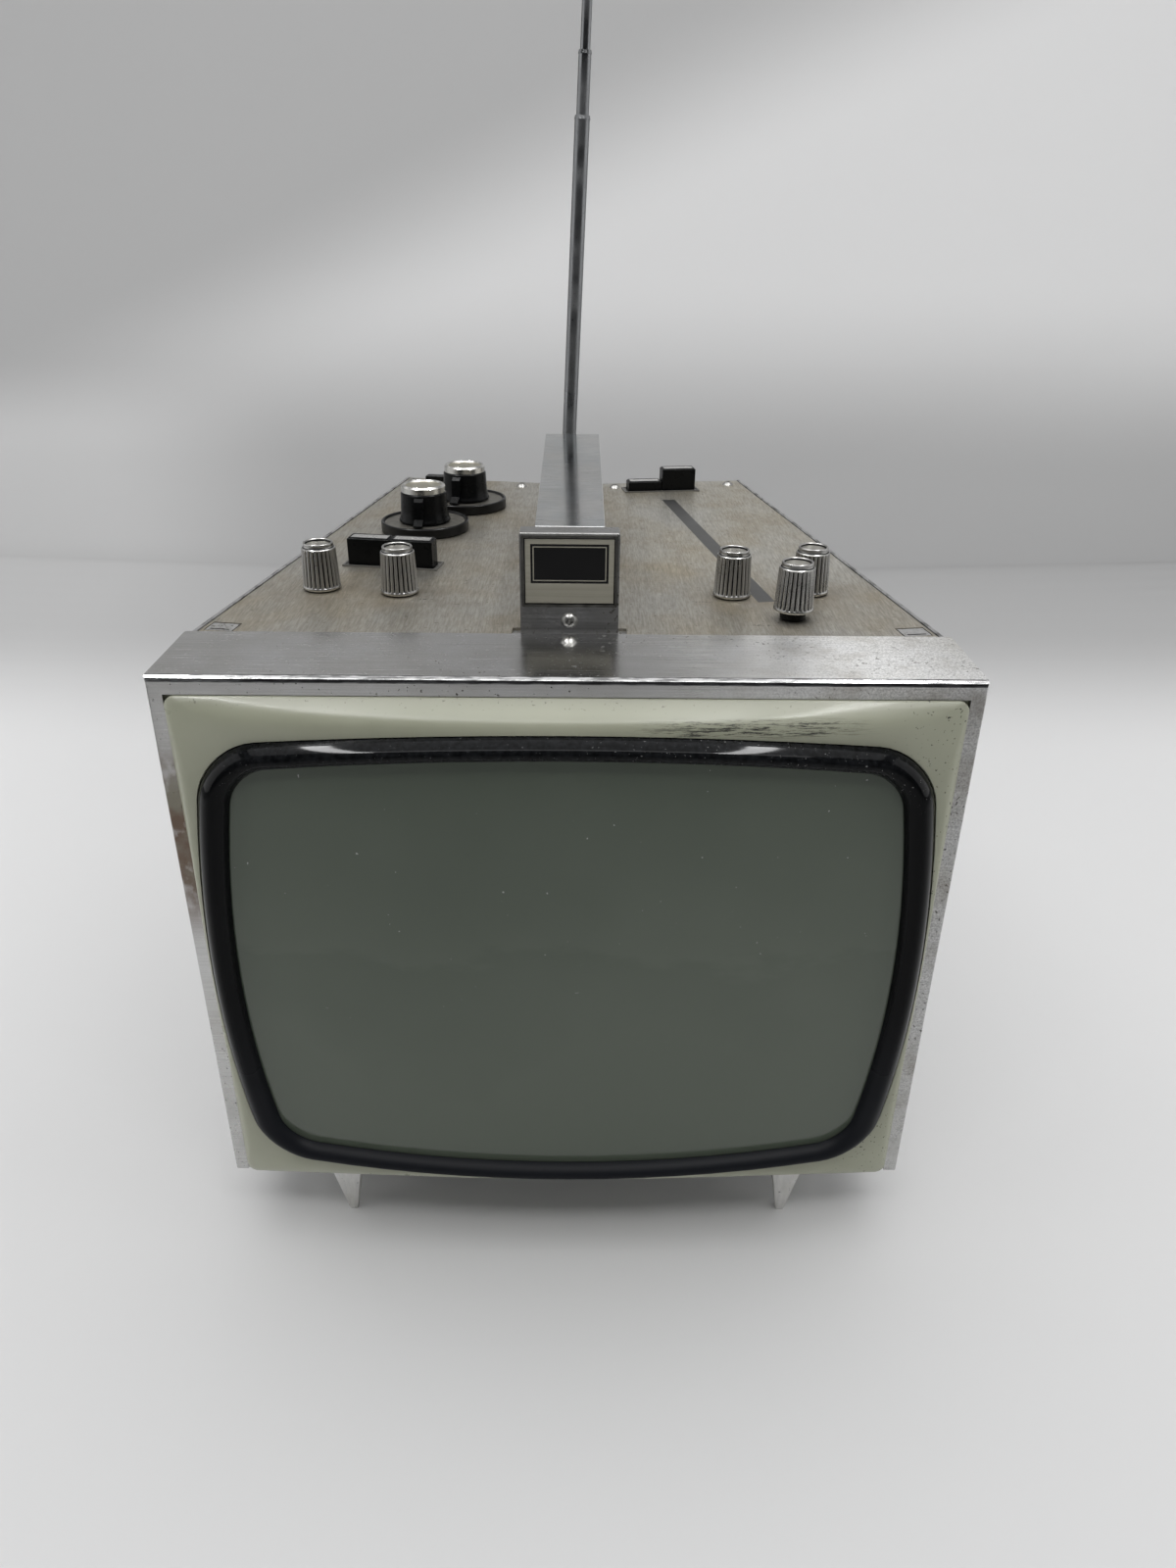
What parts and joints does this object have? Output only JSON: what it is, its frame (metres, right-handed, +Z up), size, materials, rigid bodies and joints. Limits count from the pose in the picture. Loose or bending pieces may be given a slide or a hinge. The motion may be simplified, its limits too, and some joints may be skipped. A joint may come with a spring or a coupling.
{
  "type": "portable television",
  "caption": "Portable television: tapered steel cabinet, brushed band, domed screen in a black mask, top panel with fluted knobs, concentric tuners and piano keys, handle and telescopic aerial",
  "frame": {"origin": "centre of the bounding box in plan, on the surface the feet stand on", "axes": "X to the right as seen from the front, Y to the rear, Z up; the screen faces -Y"},
  "size_m": [0.3, 0.3668, 0.5759],
  "materials": {
    "brushed_band": "brushed aluminium, aged",
    "cream": "glossy",
    "black_gloss": "glossy",
    "screen_glass": "smooth",
    "tube_coating": "dull",
    "clear_glass": "smooth",
    "steel": "bare",
    "shell_paint": "satin",
    "panel_metal": "brushed and stained",
    "chrome": "polished",
    "copper_coil": "varnished",
    "black_key": "glossy",
    "dark_plastic": "satin",
    "board": "laminate",
    "phenolic": "dull",
    "badge_metal": "satin",
    "iron": "lacquered"
  },
  "bodies": {
    "cabinet": {"front_trim": "brushed_band", "front_bezel": "cream", "screen_mask": "black_gloss", "screen_glass": "screen_glass", "tube_funnel": "tube_coating", "tube_neck": "clear_glass", "tube_band": "steel", "tube_screws": "steel", "deflection_yoke": "copper_coil", "tube_socket": "phenolic", "cabinet_shell": "shell_paint", "top_rail": "steel", "control_panel": "panel_metal", "dome_screws": "chrome", "feet": "steel", "front_post": "brushed_band", "handle_bar": "brushed_band", "rear_post": "brushed_band", "badge_frame": "chrome", "badge_plate": "badge_metal", "potentiometers": "phenolic", "tuner_units": "steel", "key_frames": "dark_plastic", "key_switches": "phenolic", "range_switch": "phenolic", "back_cover": "dark_plastic", "back_screws": "steel", "mains_inlet": "dark_plastic", "aerial_sockets": "dark_plastic", "main_board": "board", "speaker": "iron", "mains_transformer": "iron", "line_transformer": "iron"},
    "volume": {"volume_knob": "chrome"},
    "tone": {"tone_knob": "chrome"},
    "contrast": {"contrast_knob": "chrome"},
    "brightness": {"brightness_knob": "chrome"},
    "hold": {"hold_knob": "chrome"},
    "channel_selector": {"channel_knob": "black_key", "channel_cap": "chrome"},
    "channel_fine_ring": {"channel_ring": "black_key"},
    "uhf_selector": {"uhf_knob": "black_key", "uhf_cap": "chrome"},
    "uhf_fine_ring": {"uhf_ring": "black_key"},
    "front_key_left_body": {"front_key_left": "black_key", "front_key_left_inlay": "chrome"},
    "front_key_right_body": {"front_key_right": "black_key", "front_key_right_inlay": "chrome"},
    "rear_key_left_body": {"rear_key_left": "black_key", "rear_key_left_inlay": "chrome"},
    "rear_key_right_body": {"rear_key_right": "black_key", "rear_key_right_inlay": "chrome"},
    "range_slide": {"range_slider": "dark_plastic"},
    "aerial_foot": {"aerial_base": "chrome", "aerial_pin": "chrome"},
    "aerial_mast": {"aerial_tube_1": "chrome"},
    "aerial_second": {"aerial_tube_2": "chrome"},
    "aerial_third": {"aerial_tube_3": "chrome"},
    "aerial_top": {"aerial_rod": "chrome", "aerial_tip": "chrome"}
  },
  "joints": [
    {"name": "volume_turn", "type": "hinge", "parent": "cabinet", "child": "volume", "pos_m": [-0.10895, -0.05993, 0.2775], "axis": [0, 0, 1], "range_deg": [-150, 150]},
    {"name": "tone_turn", "type": "hinge", "parent": "cabinet", "child": "tone", "pos_m": [-0.07415, -0.06521, 0.2775], "axis": [0, 0, 1], "range_deg": [-150, 150]},
    {"name": "contrast_turn", "type": "hinge", "parent": "cabinet", "child": "contrast", "pos_m": [0.0702, -0.06581, 0.2775], "axis": [0, 0, 1], "range_deg": [-150, 150]},
    {"name": "brightness_turn", "type": "hinge", "parent": "cabinet", "child": "brightness", "pos_m": [0.0917, -0.09552, 0.2775], "axis": [0, 0, 1], "range_deg": [-150, 150]},
    {"name": "hold_turn", "type": "hinge", "parent": "cabinet", "child": "hold", "pos_m": [0.105, -0.06053, 0.2775], "axis": [0, 0, 1], "range_deg": [-150, 150]},
    {"name": "channel_turn", "type": "hinge", "parent": "cabinet", "child": "channel_selector", "pos_m": [-0.07672, 0.0432, 0.2775], "axis": [0, 0, 1], "continuous": true},
    {"name": "channel_fine_turn", "type": "hinge", "parent": "cabinet", "child": "channel_fine_ring", "pos_m": [-0.07672, 0.0432, 0.2745], "axis": [0, 0, 1], "range_deg": [-150, 150]},
    {"name": "uhf_turn", "type": "hinge", "parent": "cabinet", "child": "uhf_selector", "pos_m": [-0.06036, 0.09433, 0.2775], "axis": [0, 0, 1], "range_deg": [-135, 135]},
    {"name": "uhf_fine_turn", "type": "hinge", "parent": "cabinet", "child": "uhf_fine_ring", "pos_m": [-0.06036, 0.09433, 0.2745], "axis": [0, 0, 1], "range_deg": [-150, 150]},
    {"name": "front_key_left_press", "type": "slide", "parent": "cabinet", "child": "front_key_left_body", "axis": [0, 0, -1], "range_m": [0, 0.007], "stiffness_N_per_m": 160, "springref_m": -0.003},
    {"name": "front_key_right_press", "type": "slide", "parent": "cabinet", "child": "front_key_right_body", "axis": [0, 0, -1], "range_m": [0, 0.007], "stiffness_N_per_m": 160, "springref_m": -0.003},
    {"name": "rear_key_left_press", "type": "slide", "parent": "cabinet", "child": "rear_key_left_body", "axis": [0, 0, -1], "range_m": [-0.007, 0]},
    {"name": "rear_key_right_press", "type": "slide", "parent": "cabinet", "child": "rear_key_right_body", "axis": [0, 0, -1], "range_m": [0, 0.007], "stiffness_N_per_m": 160, "springref_m": -0.003},
    {"name": "range_slide_shift", "type": "slide", "parent": "cabinet", "child": "range_slide", "axis": [0.9887, -0.15, 0], "range_m": [-0.003, 0.003]},
    {"name": "aerial_swivel", "type": "hinge", "parent": "cabinet", "child": "aerial_foot", "pos_m": [-0.0022, 0.05713, 0.28956], "axis": [0, 0, 1], "range_deg": [-90, 90]},
    {"name": "aerial_tilt", "type": "hinge", "parent": "aerial_foot", "child": "aerial_mast", "pos_m": [-0.0022, 0.05713, 0.30756], "axis": [0, 1, 0], "range_deg": [-2.3, 87.7]},
    {"name": "aerial_slide_2", "type": "slide", "parent": "aerial_mast", "child": "aerial_second", "axis": [0.0401, 0, 0.9992], "range_m": [-0.023, 0.1]},
    {"name": "aerial_slide_3", "type": "slide", "parent": "aerial_second", "child": "aerial_third", "axis": [0.0401, 0, 0.9992], "range_m": [-0.053, 0.066]},
    {"name": "aerial_slide_4", "type": "slide", "parent": "aerial_third", "child": "aerial_top", "axis": [0.0401, 0, 0.9992], "range_m": [-0.0295, 0.085]}
  ]
}
